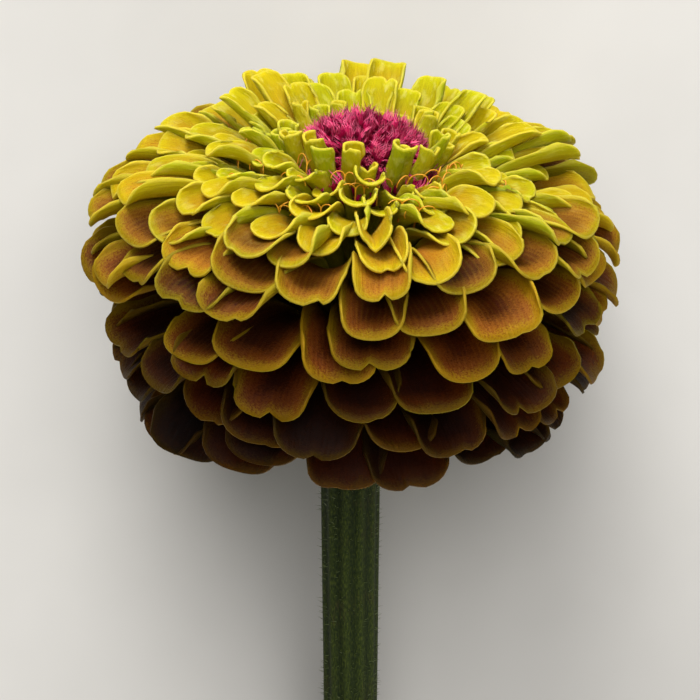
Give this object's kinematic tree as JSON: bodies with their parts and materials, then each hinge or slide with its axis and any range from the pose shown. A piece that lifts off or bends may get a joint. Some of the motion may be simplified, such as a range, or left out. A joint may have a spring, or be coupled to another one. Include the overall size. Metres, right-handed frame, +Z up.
{
  "type": "zinnia flower",
  "caption": "Cut, fully double zinnia bloom lying on its side: lime and maroon petals in rows around a magenta disc, on a straight green stem.",
  "frame": {"origin": "middle of the flower's box, on the surface that it lies on", "axes": "+Z up; +Y from the cut end of the stem towards the flower's face, which is tilted 15.3 degrees up from the floor; +X to the flower's right seen from above with the head away from the viewer"},
  "size_m": [0.0722, 0.1408, 0.0704],
  "materials": {
    "stem": "satin",
    "receptacle": "matte",
    "bracts": "satin",
    "disc": "matte",
    "rays_maroon": "satin",
    "rays_blush": "satin",
    "rays_lime": "satin"
  },
  "bodies": {
    "root": {"stem": "stem", "receptacle": "receptacle", "disc": "disc", "bract_whorl_1": "bracts", "bract_whorl_2": "bracts", "ray_floret_1_01": "rays_maroon", "ray_floret_1_02": "rays_maroon", "ray_floret_1_03": "rays_maroon", "ray_floret_1_04": "rays_maroon", "ray_floret_1_05": "rays_maroon", "ray_floret_1_06": "rays_maroon", "ray_floret_1_07": "rays_maroon", "ray_floret_1_08": "rays_maroon", "ray_floret_1_09": "rays_maroon", "ray_floret_1_10": "rays_maroon", "ray_floret_1_11": "rays_maroon", "ray_floret_1_12": "rays_maroon", "ray_floret_1_13": "rays_maroon", "ray_floret_1_14": "rays_maroon", "ray_floret_1_15": "rays_maroon", "ray_floret_1_16": "rays_maroon", "ray_floret_1_17": "rays_maroon", "ray_floret_1_18": "rays_maroon", "ray_floret_1_19": "rays_maroon", "ray_floret_1_20": "rays_maroon", "ray_floret_1_21": "rays_maroon", "ray_floret_2_01": "rays_maroon", "ray_floret_2_02": "rays_maroon", "ray_floret_2_03": "rays_maroon", "ray_floret_2_04": "rays_maroon", "ray_floret_2_05": "rays_maroon", "ray_floret_2_06": "rays_maroon", "ray_floret_2_07": "rays_maroon", "ray_floret_2_08": "rays_maroon", "ray_floret_2_09": "rays_maroon", "ray_floret_2_10": "rays_maroon", "ray_floret_2_11": "rays_maroon", "ray_floret_2_12": "rays_maroon", "ray_floret_2_13": "rays_maroon", "ray_floret_2_14": "rays_maroon", "ray_floret_2_15": "rays_maroon", "ray_floret_2_16": "rays_maroon", "ray_floret_2_17": "rays_maroon", "ray_floret_2_18": "rays_maroon", "ray_floret_2_19": "rays_maroon", "ray_floret_2_20": "rays_maroon", "ray_floret_2_21": "rays_maroon", "ray_whorl_03": "rays_maroon", "ray_whorl_04": "rays_maroon", "ray_whorl_05": "rays_blush", "ray_whorl_06": "rays_blush", "ray_whorl_07": "rays_blush", "ray_whorl_08": "rays_lime", "ray_whorl_09": "rays_lime", "ray_whorl_10": "rays_lime", "ray_whorl_11": "rays_lime", "tube_florets": "rays_lime"}
  },
  "joints": []
}
